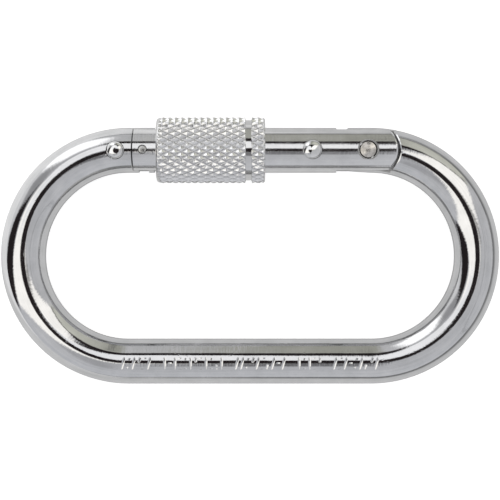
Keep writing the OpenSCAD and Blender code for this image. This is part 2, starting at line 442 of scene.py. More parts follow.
def seam_groove(place, chamfer, z_min):
    """V-grooves along a seam, front and back from z_min outward, whose walls leave a chamfer on its edge.

    place(phi) says where the seam lies at phi round the bar: its centre, its outward direction and the way
    along the bar."""
    half_width, depth = chamfer
    top = half_width + half_width / depth * ABOVE
    section = [(-top, BAR_R + ABOVE), (0, BAR_R - depth), (top, BAR_R + ABOVE)]
    first = math.asin(z_min / BAR_R)
    parts = []
    for side in (0, math.pi):
        rows = []
        for phi in np.linspace(first, math.pi - first, SEAM_STEPS) + side:
            centre, out, way = place(phi)
            radial = np.array([out[0] * math.cos(phi), out[1] * math.cos(phi), math.sin(phi)])
            rows += [centre + radial * r + way * w for w, r in section]
        parts.append((np.array(rows), capped_faces(SEAM_STEPS, 3)))
    return parts


def bend_spot(t):
    """The centreline t radians into the hinge's bend, and the outward direction there."""
    out = np.array([math.sin(t), math.cos(t)])
    return np.array([BEND_X, 0]) + BEND_R * out, out


def hinge_seam(phi):
    """Where the frame's shoulder meets the bar's surface at phi round the bar, found by halving."""
    low, high = 0.0, SEAM_SEARCH
    for _ in range(SEARCH_STEPS):
        t = (low + high) / 2
        centre, out = bend_spot(t)
        reach = centre + out * BAR_R * math.cos(phi) - np.array([HINGE_X, GATE_Y])
        if np.hypot(*reach) < SHOULDER_R:
            low = t
        else:
            high = t
    centre, out = bend_spot(low)
    return np.array([*centre, 0]), out, np.array([math.cos(low), -math.sin(low), 0])


def end_seam(radius, side):
    """A seam on an arc about the hinge axis, on the hinge's side (1) or the nose's (-1)."""
    def place(phi):
        y = BAR_R * math.cos(phi)
        x = HINGE_X + side * math.sqrt(radius ** 2 - y ** 2)
        return np.array([x, GATE_Y, 0]), np.array([0.0, 1.0]), np.array([1.0, 0, 0])
    return place


# Each sign below is a kind of mark, and its spans are the degrees round the bar that its strokes cross.
STAMP = ("/:/'=/", "l-l=:li=l:jl", "//:'/=,/-/", "l:l=i", "/=/-:/,'/")
STAMP_GAP = 2
STAMP_OVERRUN = 1.0
STAMP_START = -BEND_X - STAMP_OVERRUN
STAMP_PITCH = -2 * STAMP_START / (sum(len(group) for group in STAMP) + STAMP_GAP * (len(STAMP) - 1) - 1)
STAMP_SLANT = 0.022
STAMP_DEPTH, STROKE_HALF, DASH_HALF = 0.14, 0.31, 0.42
STROKE_STATIONS, STROKE_END = 9, 0.3
STAMP_SPANS = {"l": [(77, 109)], "i": [(77, 91)], "j": [(95, 109)], "/": [(77, 109)], "'": [(77, 91)],
               ",": [(95, 109)], ":": [(79, 85), (101, 107)]}
STAMP_DASHES = {"-": [(90, 94)], "=": [(78, 82), (104, 108)]}


def stroke(x, half_width, angles, slant):
    """One stamped stroke across the crown of the spine, with sloping walls and ends.

    slant is how far its lower end lies to the left for each degree round the bar."""
    wide = half_width * (STAMP_DEPTH + ABOVE) / STAMP_DEPTH
    rows = []
    for i, t in enumerate(np.radians(np.linspace(*angles, STROKE_STATIONS))):
        deep = STAMP_DEPTH if 0 < i < STROKE_STATIONS - 1 else STAMP_DEPTH * STROKE_END
        shift = slant * (90 - math.degrees(t))
        for w, r in ((0, BAR_R - deep), (wide, BAR_R + ABOVE), (-wide, BAR_R + ABOVE)):
            rows.append((x + w + shift, -BEND_R + r * math.cos(t), r * math.sin(t)))
    return np.array(rows), capped_faces(STROKE_STATIONS, 3)


def engraving():
    """Plain tally strokes, dots and dashes in groups, along the spine's straight and a little past it."""
    parts, x = [], STAMP_START
    for group in STAMP:
        slant = STAMP_SLANT if "/" in group else 0.0
        for kind in group:
            for spans, half_width in ((STAMP_SPANS, STROKE_HALF), (STAMP_DASHES, DASH_HALF)):
                parts += [stroke(x, half_width, angles, slant) for angles in spans.get(kind, [])]
            x += STAMP_PITCH
        x += STAMP_GAP * STAMP_PITCH
    return parts


MARK_PAST_SEAM, MARK_INWARD = 0.45, 0.6
MARK_HALF, MARK_DEPTH = 0.42, 0.13
MARK_CORNERS = ((10, 1), (95, 0.7), (200, 1.2), (290, 0.8))


def tool_mark(x, y):
    """A small uneven pit in the bar's crown."""
    top = MARK_HALF * (MARK_DEPTH + ABOVE) / MARK_DEPTH
    out = math.hypot(x - BEND_X, y) - BEND_R
    crown = math.sqrt(BAR_R ** 2 - out ** 2)
    points = []
    for degrees, share in MARK_CORNERS:
        t, r = np.radians(degrees), top * share
        points.append((x + r * math.cos(t), y + r * math.sin(t), crown + ABOVE))
    points.append((x, y, crown - MARK_DEPTH))
    return np.array(points), [(0, 1, 2, 3), (1, 0, 4), (2, 1, 4), (3, 2, 4), (0, 3, 4)]


# ---- the frame

def build_frame():
    obj = swept_bar("frame_bar")
    parts = []
    for z1, z2 in ((SLAB, WIDE), (-WIDE, -SLAB)):
        parts += [inside_arc(NOSE_SHOULDER, z1, z2), disc(SHOULDER_R, z1, z2)]
    parts.append(inside_arc(TONGUE_END, -SLAB - SLAB_PAST, SLAB + SLAB_PAST))
    parts += [hook_notch(), tang_clearance(), disc(RIVET_R + RIVET_PLAY, -WIDE, WIDE)]
    cut(obj, parts)
    pin_x, pin_y = (middle("nose_stop_pin") - np.array([HINGE_X, GATE_Y, 0]))[:2]
    parts = [disc(half_size("nose_stop_pin")[0] + NOSE_PIN_PLAY, -WIDE, WIDE, pin_x, pin_y)]
    parts += seam_groove(hinge_seam, HINGE_CHAMFER, SLAB + SLAB_CLEAR)
    parts += seam_groove(end_seam(NOSE_SHOULDER, -1), NOSE_CHAMFER, SLAB + SLAB_CLEAR)
    parts.append(tool_mark(HINGE_X + SHOULDER_R + MARK_PAST_SEAM, GATE_Y - MARK_INWARD))
    cut(obj, parts + engraving())
    shade(obj, frame_surface)
    return obj


# ---- the gate

BAND_1, BAND_2 = -12.6, -8.4
BAND_RISE, BAND_STEP, BAND_FADE = 0.42, 0.1, 0.35
CREST_SLOPE, CREST_START, THREAD_ROOT = 1.7, 0.35, 0.25


def gate_radius(x, a):
    """The gate's radius: the bar, and the thread that winds round its band."""
    turn = (x - BAND_1) / THREAD_PITCH - a / (2 * math.pi)
    wave = np.abs((turn % 1.0) * 2 - 1)
    crest = np.clip(wave * CREST_SLOPE - CREST_START, 0, 1)
    fade = np.clip(np.minimum(x - BAND_1, BAND_2 - x) / BAND_FADE, 0, 1)
    return BAR_R + fade * (BAND_RISE * (THREAD_ROOT + (1 - THREAD_ROOT) * crest))


def gate_blank():
    a = round_angles(BAR_SIDES)
    start, stop = HINGE_X - GATE_REACH - 0.6, HINGE_X + EAR_R + 0.4
    xs = np.concatenate([np.arange(start, BAND_1, SECTION_STEP), np.arange(BAND_1, BAND_2, BAND_STEP),
                         np.arange(BAND_2, stop, SECTION_STEP), [stop]])
    rows = []
    for x in xs:
        r = gate_radius(x, a)
        rows.append(np.column_stack([np.full(BAR_SIDES, x), GATE_Y + r * np.cos(a), r * np.sin(a)]))
    return make_mesh("gate_bar", np.vstack(rows), capped_faces(len(rows), BAR_SIDES))


def build_gate():
    obj = gate_blank()
    cut(obj, [beyond_nose_arc(GATE_REACH, NOSE_PAST, WIDE), ear_trim(),
              disc(RIVET_R + RIVET_FIT, -WIDE, WIDE)])
    stud_x = middle("gate_stop_stud_front")[0] - HINGE_X
    stud_r = half_size("gate_stop_stud_front")[0] + STUD_PLAY
    spring_end = box_mm("gate_spring")[0][0] - SPRING_PLAY - HINGE_X
    parts = [block(-SLOT_WALL, EAR_R + 2, -WIDE, WIDE, -EAR_GAP, EAR_GAP),
             beyond_nose_arc(GATE_POCKET, POCKET_PAST, EAR_GAP),
             bored(SPRING_BORE_R, spring_end, -SLOT_WALL + 0.5, -CAM_R)]
    for side in (1, -1):
        low, high = sorted((side * SPOTFACE_Z, side * WIDE))
        parts.append(disc(RIVET_R + SPOTFACE, low, high))
        low, high = sorted((side * STUD_HOLE_Z, side * WIDE))
        parts.append(disc(stud_r, low, high, stud_x, 0, 96))
    parts.append(disc(LATCH_HOLE_R, -WIDE, WIDE, -PIN_REACH, 0, 64))
    parts += seam_groove(end_seam(EAR_END, 1), EAR_CHAMFER, EAR_GAP + EAR_CLEAR)
    cut(obj, parts)
    shade(obj, gate_surface)
    return obj


# ---- sleeve

KNURLS, KNURL_LENGTH, KNURL_DEPTH = 30, 2.83, 0.50
GROOVE_HALF = 0.43
KNURL_START, KNURL_GROWS, KNURL_STOP, KNURL_FADES = 0.25, 0.9, 0.1, 0.4
AROUND, ALONG, EDGE_STEPS = 16, 18, 8
SLEEVE_CREASE = 50
EDGE_R, CHAMFER = 1.0, 0.4
WAIST_1, WAIST_2, WAIST_R, WAIST_WALL = 19.8, 21.2, 6.7, 0.15
BORE, LIP, RING_GROOVE, RING_HALF = BAR_R + 0.5, BAR_R + 0.25, 6.02, 0.58
BORE_EASE, LIP_EASE = 0.25, 0.15


def sleeve_envelope(x):
    """The sleeve's radius with no knurl, and how deep the knurl may be there."""
    near = np.clip(EDGE_R - x, 0, EDGE_R)
    r = SLEEVE_R - (EDGE_R - np.sqrt(np.maximum(EDGE_R ** 2 - near ** 2, 0)))
    r -= np.clip(x - (SLEEVE_LENGTH - CHAMFER), 0, CHAMFER)
    waist = np.clip(np.minimum(x - WAIST_1, WAIST_2 - x) / WAIST_WALL + 0.5, 0, 1)
    grows = np.clip((x - KNURL_START) / KNURL_GROWS, 0, 1)
    depth = grows * np.clip((SLEEVE_LENGTH - KNURL_STOP - x) / KNURL_FADES, 0, 1)
    return r + (WAIST_R - SLEEVE_R) * waist, depth * (1 - waist)


def knurl(x, a):
    """1 on the diamonds' flats, 0 at the bottom of the grooves."""
    turn = a * KNURLS / (2 * math.pi)
    u, v = turn + x / KNURL_LENGTH, turn - x / KNURL_LENGTH
    groove = np.minimum(np.abs(u - np.round(u)), np.abs(v - np.round(v)))
    return np.clip(groove / GROOVE_HALF, 0, 1)


def sleeve_stations():
    """Places along the sleeve: close together at its rounded edge and at the waist's walls."""
    edge = EDGE_R * (1 - np.cos(np.linspace(0, math.pi / 2, EDGE_STEPS, endpoint=False)))
    walls = [waist + side * WAIST_WALL / 2 for waist in (WAIST_1, WAIST_2) for side in (-1, 1)]
    body = np.arange(EDGE_R, SLEEVE_LENGTH, KNURL_LENGTH / ALONG)
    return np.unique(np.concatenate([edge, body, [SLEEVE_LENGTH], walls]))


def build_sleeve():
    around = KNURLS * AROUND
    a = round_angles(around)
    xs = sleeve_stations()
    r, depth = sleeve_envelope(xs)
    flats = [knurl(x, a) for x in xs]
    rows = [(x, rx - KNURL_DEPTH * d * (1 - flat)) for x, rx, d, flat in zip(xs, r, depth, flats)]
    middle_x = (WAIST_1 + WAIST_2) / 2
    inside = [(SLEEVE_LENGTH, LIP + LIP_EASE), (SLEEVE_LENGTH - LIP_EASE, LIP),
              (middle_x + RING_HALF, LIP), (middle_x + RING_HALF, RING_GROOVE),
              (middle_x - RING_HALF, RING_GROOVE), (middle_x - RING_HALF, BORE),
              (BORE_EASE, BORE), (0.0, BORE + BORE_EASE)]
    rows += inside
    cos, sin = np.cos(a), np.sin(a)
    points = np.vstack([np.column_stack([np.full(around, SLEEVE_X + x), GATE_Y + q * cos, q * sin])
                        for x, q in rows])
    obj = make_mesh("knurled_sleeve", points, grid_faces(len(rows), around, wrap_rows=True))
    obj.data.set_sharp_from_angle(angle=math.radians(SLEEVE_CREASE))
    share = np.repeat(np.concatenate([depth, np.zeros(len(inside))]), around)
    crest = np.concatenate([*flats, np.ones(len(inside) * around)])
    for key, value in (("knurled", share), ("crest", crest)):
        attribute = obj.data.attributes.new(key, "FLOAT", "POINT")
        attribute.data.foreach_set("value", value.astype(np.float32))
    return obj


# ---- pins, studs and springs

NECK = BAR_R + 0.1
LIFT = 0.02
STUD_EASE = 0.15
RIVET_INSET, RIVET_CROWN, RIVET_EDGE = 0.14, 0.28, 0.24
STEP_R, STEP_LENGTH, PLUNGER_EASE = 0.95, 2.0, 0.15
PIN_SIDES = 64
STUD_LEAN, PIN_LEAN = (-0.55, -0.32), (0.20, -0.06)
STUD_FLATNESS, PIN_FLATNESS = 2.15, 3.4


def mirrored(half):
    """An outline about mid-depth, from its upper half."""
    return [(r, -z) for r, z in half][::-1] + half


def dome(r, neck, top, flatness, steps=18):
    """Outline of a domed end, from its edge to the tip.

    At a flatness of 2 it is an ellipse, and above that its crown is flatter and its edge rounder."""
    turns = np.linspace(math.pi / 2, 0, steps)
    return [(r * math.sin(t) ** (2 / flatness), neck + (top - neck) * math.cos(t)) for t in turns]


def lean_crown(obj, neck, top, shift):
    """Moves a domed end's tip sideways, as a hand-set pin has it."""
    for vertex in obj.data.vertices:
        rise = (abs(vertex.co.z) / MM - neck) / (top - neck)
        if rise > 0:
            vertex.co.x += shift[0] * MM * rise
            vertex.co.y += shift[1] * MM * rise


def build_stud(name, node, side):
    low, high = box_mm(node)
    r, centre = half_size(node)[0], middle(node)
    bottom, top = (low[2], high[2]) if side > 0 else (-high[2], -low[2])
    outline = [(0, bottom), (r - STUD_EASE, bottom), (r, bottom + STUD_EASE), (r, NECK - LIFT)]
    outline += dome(r, NECK, top, STUD_FLATNESS)[1:]
    obj = turned(name, [(x, side * z) for x, z in outline], (centre[0], centre[1], 0), "z")
    if side < 0:
        obj.data.flip_normals()
    lean_crown(obj, NECK, top, STUD_LEAN)
    return obj


def build_nose_pin():
    r, centre = half_size("nose_stop_pin")[0], middle("nose_stop_pin")
    top = box_mm("nose_stop_pin")[1][2]
    outline = mirrored([(r, NECK - LIFT)] + dome(r, NECK, top, PIN_FLATNESS)[1:])
    obj = turned("nose_pin", outline, (centre[0], centre[1], 0), "z")
    lean_crown(obj, NECK, top, PIN_LEAN)
    return obj


def build_rivet():
    """Peened nearly flat, so each end has a shallow crown and a rolled edge."""
    crown, edge = RIVET_CROWN, RIVET_EDGE
    top, flat = box_mm("hinge_rivet")[1][2], RIVET_R - RIVET_INSET - edge
    tilt = math.atan(2 * crown / flat)
    half = [(flat + edge * math.cos(t), top - crown - edge + edge * math.sin(t))
            for t in np.linspace(0, math.pi / 2 - tilt / 2, 8)]
    half += [(r, top - crown * (r / flat) ** 2) for r in np.linspace(flat, 0, 12)[1:]]
    return turned("rivet", mirrored(half), (HINGE_X, GATE_Y, 0), "z")


def build_latch_pin():
    r, centre, top = half_size("latch_pin")[0], middle("latch_pin"), box_mm("latch_pin")[1][2]
    half = [(r, top - 0.2), (r - 0.12, top - 0.04), (r - 0.3, top), (0, top)]
    return turned("gate_latch_pin", mirrored(half), (centre[0], centre[1], 0), "z", PIN_SIDES)


def build_plunger():
    """A headed pin: the spring fits over its narrow step."""
    low, high = box_mm("spring_plunger")
    r, centre = half_size("spring_plunger")[2], middle("spring_plunger")
    step, step_end = STEP_R, low[0] + STEP_LENGTH
    outline = [(0, low[0]), (step - PLUNGER_EASE, low[0]), (step, low[0] + 0.2), (step, step_end)]
    outline += [(r - PLUNGER_EASE, step_end), (r, step_end + PLUNGER_EASE), (r, high[0] - 0.3)]
    outline += [(r - 0.2, high[0] - 0.05), (r - 0.35, high[0]), (0, high[0])]
    return turned("gate_plunger", outline, (0, centre[1], centre[2]), "x", PIN_SIDES)


def build_spring():
    low, high = box_mm("gate_spring")
    wire, coils, steps, sides = 0.3, 9, 40, 10
    r = half_size("gate_spring")[2] - wire
    i = np.arange(coils * steps + 1)
    turn = 2 * math.pi * i / steps
    axis_y = GATE_Y - CAM_R
    x = np.linspace(low[0] + wire, high[0] - wire, len(i))
    path = np.column_stack([x, axis_y + r * np.cos(turn), r * np.sin(turn)])
    ahead = np.roll(path, -1, 0) - np.roll(path, 1, 0)
    ahead[0], ahead[-1] = path[1] - path[0], path[-1] - path[-2]
    ahead /= np.linalg.norm(ahead, axis=1)[:, None]
    away = path * [0, 1, 1] - [0, axis_y, 0]
    away -= ahead * np.einsum("ij,ij->i", away, ahead)[:, None]
    away /= np.linalg.norm(away, axis=1)[:, None]
    a = round_angles(sides)
    rows = [p + wire * (np.outer(np.cos(a), u) + np.outer(np.sin(a), w))
            for p, u, w in zip(path, away, np.cross(ahead, away))]
    return make_mesh("gate_coil", *outward((np.vstack(rows), capped_faces(len(rows), sides))))


def build_ring():
    """The split ring: a flat-sided wire bent nearly round, with rounded corners."""
    half, _, out_r = half_size("sleeve_retaining_ring")
    cx, in_r = middle("sleeve_retaining_ring")[0], BAR_R + 0.1
    gap = math.asin(1.0 / in_r) + 0.02
    angles = np.linspace(math.pi + gap, 3 * math.pi - gap, 120)
    soft = 0.12
    section = []
    for sx, sr, start in ((1, 1, 0), (-1, 1, 90), (-1, -1, 180), (1, -1, 270)):
        for t in np.radians(np.linspace(start, start + 90, 4)):
            section.append((sx * (half - soft) + soft * math.cos(t),
                            (out_r + in_r) / 2 + sr * ((out_r - in_r) / 2 - soft) + soft * math.sin(t)))
    points = np.array([(cx + w, GATE_Y + r * math.cos(a), r * math.sin(a))
                       for a in angles for w, r in section])
    return make_mesh("retaining_ring", *outward((points, capped_faces(len(angles), len(section)))))


# ---- materials

class Nodes:
    """A short way to write a node tree."""

    def __init__(self, tree):
        self.tree = tree

    def add(self, kind, settings=None, **inputs):
        node = self.tree.nodes.new(kind)
        for key, value in (settings or {}).items():
            setattr(node, key, value)
        for key, value in inputs.items():
            self.put(node, key.replace("_", " "), value)
        return node

    def put(self, node, key, value):
        socket = node.inputs[int(key)] if key.isdigit() else node.inputs[key]
        if isinstance(value, bpy.types.NodeSocket):
            self.tree.links.new(value, socket)
        else:
            socket.default_value = value

    def math(self, operation, *values):
        node = self.add("ShaderNodeMath", {"operation": operation})
        for i, value in enumerate(values):
            self.put(node, str(i), value)
        return node.outputs[0]

    def vector(self, operation, *values):
        node = self.add("ShaderNodeVectorMath", {"operation": operation})
        for i, value in enumerate(values):
            self.put(node, str(i), value)
        return node

    def scaled(self, place, factors):
        return self.vector("MULTIPLY", place, factors).outputs[0]

    def split(self, vector):
        node = self.add("ShaderNodeSeparateXYZ")
        self.put(node, "0", vector)
        return node.outputs

    def noise(self, vector, scale, detail, roughness):
        node = self.add("ShaderNodeTexNoise", Scale=scale, Detail=detail, Roughness=roughness)
        self.put(node, "Vector", vector)
        return node.outputs["Fac"]

    def ramp(self, value, *stops):
        """A colour ramp of two stops, each a place and a colour."""
        node = self.add("ShaderNodeValToRGB")
        self.put(node, "Fac", value)
        for element, (place, colour) in zip(node.color_ramp.elements, stops):
            element.position = place
            element.color = (*colour, 1)
        return node.outputs["Color"]

    def span(self, value, source, target):
        """Maps the range source onto the range target, and holds the ends beyond it."""
        node = self.add("ShaderNodeMapRange", From_Min=source[0], From_Max=source[1], To_Min=target[0],
                        To_Max=target[1])
        self.put(node, "Value", value)
        return node.outputs["Result"]

    def blend(self, share, below, above):
        mix = self.add("ShaderNodeMix", {"data_type": "RGBA"})
        self.put(mix, "0", share)
        for key, value in (("6", below), ("7", above)):
            self.put(mix, key, value if isinstance(value, bpy.types.NodeSocket) else (*value, 1))
        return mix.outputs[2]


BUMP_DISTANCE = 0.00001

# Noises: scale, detail and roughness.
DRAWN_LINES, BROAD_LINES, TOOTH = (5200.0, 4.0, 0.6), (1500.0, 2.0, 0.5), (2000.0, 3.0, 0.6)
RIPPLE, CLOUD = (520.0, 2.0, 0.5), (260.0, 3.0, 0.55)
GRAIN, PITS, HATCH = (9000.0, 3.0, 0.65), (3600.0, 2.0, 0.5), (6500.0, 2.0, 0.6)
TURNED_LINES, SLEEVE_CLOUD = (5200.0, 2.0, 0.6), (420.0, 3.0, 0.55)
FILING, PIN_CLOUD = (3600.0, 3.0, 0.6), (700.0, 4.0, 0.6)
CRAZE_SCALE, CRAZE_STRETCH, CRAZE_WIDTH = 430.0, (0.35, 1.0, 1.6), 0.035

# How tall each kind of line is in the bump, as a share of the steel's lines.
DRAWN_SHARE, BROAD_SHARE, TOOTH_SHARE, RIPPLE_SHARE = 0.6, 2.1, 3.8, 3.6


class Metal:
    """A metal being made: its material, its nodes and its shader."""

    def __init__(self, name):
        self.material = bpy.data.materials.new(name)
        self.material.use_nodes = True
        tree = self.material.node_tree
        tree.nodes.clear()
        self.nodes = Nodes(tree)
        self.shader = self.nodes.add("ShaderNodeBsdfPrincipled", Metallic=1.0)
        output = self.nodes.add("ShaderNodeOutputMaterial")
        tree.links.new(self.shader.outputs[0], output.inputs["Surface"])

    def finish(self, colour, roughness, height):
        n = self.nodes
        bump = n.add("ShaderNodeBump", Strength=1.0, Distance=BUMP_DISTANCE, Height=height)
        n.put(self.shader, "Base Color", colour)
        n.put(self.shader, "Roughness", roughness)
        n.put(self.shader, "Normal", bump.outputs["Normal"])
        return self.material


def steel(name, colour, dark, rough, lines, scratches, stretch=(0.02, 1, 1)):
    """Plated steel: lines drawn along the bar, a finer tooth across it, ripples, scratches and clouds.

    stretch shapes the drawn lines, lines is their height, and scratches is how deep the scratches are."""
    metal = Metal(name)
    n = metal.nodes
    place = n.add("ShaderNodeAttribute", {"attribute_name": "along"}).outputs["Vector"]
    laid = n.scaled(place, stretch)
    drawn = n.noise(laid, *DRAWN_LINES)
    broad = n.noise(laid, *BROAD_LINES)
    tooth = n.noise(n.scaled(place, (1.0, 0.22, 0.22)), *TOOTH)
    ripple = n.noise(n.scaled(place, (0.6, 1.0, 1.0)), *RIPPLE)
    cloud = n.noise(place, *CLOUD)
    wear = n.math("MULTIPLY_ADD", cloud, 0.6, n.math("MULTIPLY", drawn, 0.4))
    gloss = n.math("ADD", n.span(cloud, (0.3, 0.7), (rough * 0.75, rough * 1.35)),
                   n.span(drawn, (0.35, 0.75), (0.0, rough * 0.5)))
    crazed = n.add("ShaderNodeTexVoronoi", {"feature": "DISTANCE_TO_EDGE"}, Scale=CRAZE_SCALE,
                   Randomness=1.0, Vector=n.scaled(place, CRAZE_STRETCH))
    nick = n.math("MULTIPLY", n.span(crazed.outputs["Distance"], (0.0, CRAZE_WIDTH), (1.0, 0.0)),
                  n.span(cloud, (0.55, 0.64), (0.0, 1.0)))
    height = n.math("MULTIPLY", drawn, lines * DRAWN_SHARE)
    for part, share in ((broad, BROAD_SHARE), (tooth, TOOTH_SHARE), (ripple, RIPPLE_SHARE)):
        height = n.math("MULTIPLY_ADD", part, lines * share, height)
    height = n.math("SUBTRACT", height, n.math("MULTIPLY", nick, scratches))
    return metal.finish(n.ramp(wear, (0.32, dark), (0.62, colour)), gloss, height)


# The groove tone is painted shade for the bottom of the knurl's grooves.
BLASTED_DEEP, BLASTED_PALE, GROOVE_SHADE = (0.74, 0.74, 0.75), (0.92, 0.92, 0.92), (0.38, 0.38, 0.39)
WAIST_TONE, WAIST_ROUGH = (0.70, 0.70, 0.70), 0.08


def knurled_steel(name):
    """The sleeve: a matt knurl with a blast finish and painted shade darkening its grooves, and a smooth
    turned waist and bore.
    """
    metal = Metal(name)
    n = metal.nodes
    place = n.add("ShaderNodeTexCoord").outputs["Object"]
    share = n.add("ShaderNodeAttribute", {"attribute_name": "knurled"}).outputs["Fac"]
    crest = n.add("ShaderNodeAttribute", {"attribute_name": "crest"}).outputs["Fac"]
    grain = n.noise(place, *GRAIN)
    cloud = n.noise(place, *SLEEVE_CLOUD)
    pits = n.noise(place, *PITS)
    hatch = n.noise(n.scaled(place, (0.15, 1.0, 1.0)), *HATCH)
    turned_lines = n.noise(n.scaled(place, (1.0, 0.2, 0.2)), *TURNED_LINES)
    blast_tone_and_groove_shade = n.ramp(n.math("MULTIPLY_ADD", cloud, 0.5, n.math("MULTIPLY", pits, 0.5)),
                     (0.36, BLASTED_DEEP), (0.60, BLASTED_PALE))
    # Painted shade: the knurl's tone turns to the groove tone as it nears the bottom of its grooves.
    blast_tone_and_groove_shade = n.blend(n.span(crest, (0.0, 0.6), (0.6, 0.0)), blast_tone_and_groove_shade, GROOVE_SHADE)
    matt = n.math("SUBTRACT", n.span(pits, (0.3, 0.7), (0.11, 0.20)), WAIST_ROUGH)
    gloss = n.math("MULTIPLY_ADD", share, matt, WAIST_ROUGH)
    rough = n.math("MULTIPLY_ADD", turned_lines, 2.2, n.math("MULTIPLY", pits, 1.2))
    rough = n.math("MULTIPLY_ADD", grain, 0.9, rough)
    height = n.math("MULTIPLY_ADD", share, rough, n.math("MULTIPLY", hatch, 0.3))
    return metal.finish(n.blend(share, WAIST_TONE, blast_tone_and_groove_shade), gloss, height)


def turned_steel(name, colour, dark, rough, lines):
    """Steel with the faint filing of a pin's end."""
    metal = Metal(name)
    n = metal.nodes
    place = n.add("ShaderNodeTexCoord").outputs["Object"]
    cloud = n.noise(place, *PIN_CLOUD)
    filed = n.noise(n.scaled(place, (1.0, 0.35, 0.1)), *FILING)
    gloss = n.span(filed, (0.3, 0.7), (rough * 0.75, rough * 1.3))
    height = n.math("MULTIPLY_ADD", filed, lines, n.math("MULTIPLY", cloud, lines))
    return metal.finish(n.ramp(cloud, (0.35, dark), (0.6, colour)), gloss, height)


# ---- the studio tent

# Its shapes are convex and run anticlockwise, in degrees from the zenith: +X to the right and +Y up, as the
# camera sees it. The number after a shape's corners is how soft its edge is.
OLIVE_PANEL = [(-1.5, 39), (62, 41), (82, 74), (50, 97), (-1.5, 100)], 2.0
OLIVE_EDGE = [(4, 48), (7, 48), (13, 96), (8, 96)], 1.2
PALE_PANEL = [(-92, 12), (-64, 27), (-56, 60), (-75, 72), (-100, 45)], 5.0
SOFT_BOX = [(-60, 56), (-42, 45), (-30, 40), (-14, 43), (-14, 72), (-40, 84), (-60, 72)], 4.0
GREY_PATCH = [(-60, 24), (-33, 21), (-27, 33), (-46, 47), (-61, 45)], 4.0
FOLD = [(-24, -40), (-8, -44), (-5, -14), (-21, -18)], 3.0
STRIP_LOW = [(-66, -29), (-20, -20), (5, -6), (8, 13), (-26, 20), (-65, -19)], 1.3
STRIP_HIGH = [(5, -6), (28, 8), (46, 26), (56, 40), (27, 40), (9, 20), (0, 10)], 1.3
ROOF = [(-26, 4), (8, 4), (8, 20), (2, 31), (-12, 35), (-24, 28)], 1.5
FLAG = [(-33, 24), (-62, 25), (-80, 13), (-92, -8), (-88, -30), (-76, -35), (-49, -2)], 2.0
TOP_FLAG = [(-12, 38), (6, 29), (16, 32), (28, 39.5), (26, 42), (-12, 45)], 0.9
WEDGE = [(3, 31), (8, 18), (14, 31)], 0.9
RAIL = [(14, 37.2), (58, 40.5), (58, 42.5), (14, 40.6)], 0.9
LENS_NOTCH = [(-4, 6), (4, 6), (4, 14), (-4, 14)], 0.8
STAND = [(-2, -24), (4, -24), (5, 0), (-1, 0)], 1.5
ARM = [(6, 0), (24, 3), (24, 7), (6, 6)], 1.5

# Ovals: centre, radii, and the softness as a share of the radius.
LENS = (0, 0), (11.5, 9.8), 0.12
SEAM_OUTER, SEAM_INNER = ((78, 0), (42, 52), 0.02), ((78, 0), (39, 49), 0.02)
EDGE_SHARE, SEAM_SHARE, FOLD_SHARE, HOLDER_SHARE = 0.6, 0.45, 0.4, 0.7
TENT_CLOUDS = (3.0, 2.0, 0.5)

TENT_LOW, TENT_HIGH = (0.64, 0.65, 0.68), (0.62, 0.62, 0.63)
TENT_TOP, TENT_CLOTH = (0.46, 0.46, 0.48), (0.80, 0.80, 0.81)
OLIVE_DEEP, OLIVE_PALE = (0.39, 0.39, 0.345), (0.72, 0.72, 0.64)
PALE_TONE, PATCH_TONE, SEAM_TONE = (0.84, 0.84, 0.85), (0.40, 0.40, 0.41), (0.30, 0.30, 0.31)
BOX_LIGHT, STRIP_LIGHT, ROOF_LIGHT = (1.6, 1.6, 1.6), (1.36, 1.33, 1.27), (1.16, 1.16, 1.17)
HORIZON, FLAG_BLACK = (0.10, 0.10, 0.10), (0.022, 0.018, 0.019)


class Tent:
    """The directions round the object, in degrees from the zenith, and the tone painted on them so far."""

    def __init__(self, n):
        self.n = n
        way = n.add("ShaderNodeTexCoord").outputs["Generated"]
        self.way = n.vector("NORMALIZE", way).outputs[0]
        x, y, z = n.split(self.way)
        flat = n.math("ADD", n.math("MULTIPLY", x, x), n.math("MULTIPLY", y, y))
        flat = n.math("SQRT", n.math("MAXIMUM", flat, 1e-8))
        self.lean = n.math("MULTIPLY", n.math("ARCCOSINE", n.math("MINIMUM", z, 1.0)), 180 / math.pi)
        self.gx = n.math("MULTIPLY", n.math("DIVIDE", x, flat), self.lean)
        self.gy = n.math("MULTIPLY", n.math("DIVIDE", y, flat), self.lean)
        self.tone = n.blend(n.span(self.gy, (-80.0, 40.0), (0.0, 1.0)), TENT_LOW, TENT_HIGH)

    def half_plane(self, start, end, soft):
        """1 on the left of the line from start to end, 0 on its right, with a soft edge."""
        dx, dy = end[0] - start[0], end[1] - start[1]
        size = math.hypot(dx, dy)
        across = self.n.math("MULTIPLY_ADD", self.gx, -dy / size, self.n.math("MULTIPLY", self.gy, dx / size))
        level = (start[1] * dx - start[0] * dy) / size
        return self.n.span(across, (level - soft, level + soft), (0.0, 1.0))

    def panel(self, corners, soft):
        """1 inside a shape, 0 outside."""
        inside = None
        for start, end in zip(corners, corners[1:] + corners[:1]):
            part = self.half_plane(start, end, soft)
            inside = part if inside is None else self.n.math("MINIMUM", inside, part)
        return inside

    def oval(self, centre, radii, soft):
        """1 inside an ellipse, 0 outside; soft is a share of its radius."""
        n = self.n
        u = n.math("DIVIDE", n.math("SUBTRACT", self.gx, centre[0]), radii[0])
        v = n.math("DIVIDE", n.math("SUBTRACT", self.gy, centre[1]), radii[1])
        r = n.math("SQRT", n.math("ADD", n.math("MULTIPLY", u, u), n.math("MULTIPLY", v, v)))
        return n.span(r, (1 - soft, 1 + soft), (1.0, 0.0))

    def both(self, first, second):
        return self.n.math("MULTIPLY", first, second)

    def outside(self, share):
        return self.n.math("SUBTRACT", 1.0, share)

    def paint(self, share, tone):
        self.tone = self.n.blend(share, self.tone, tone)


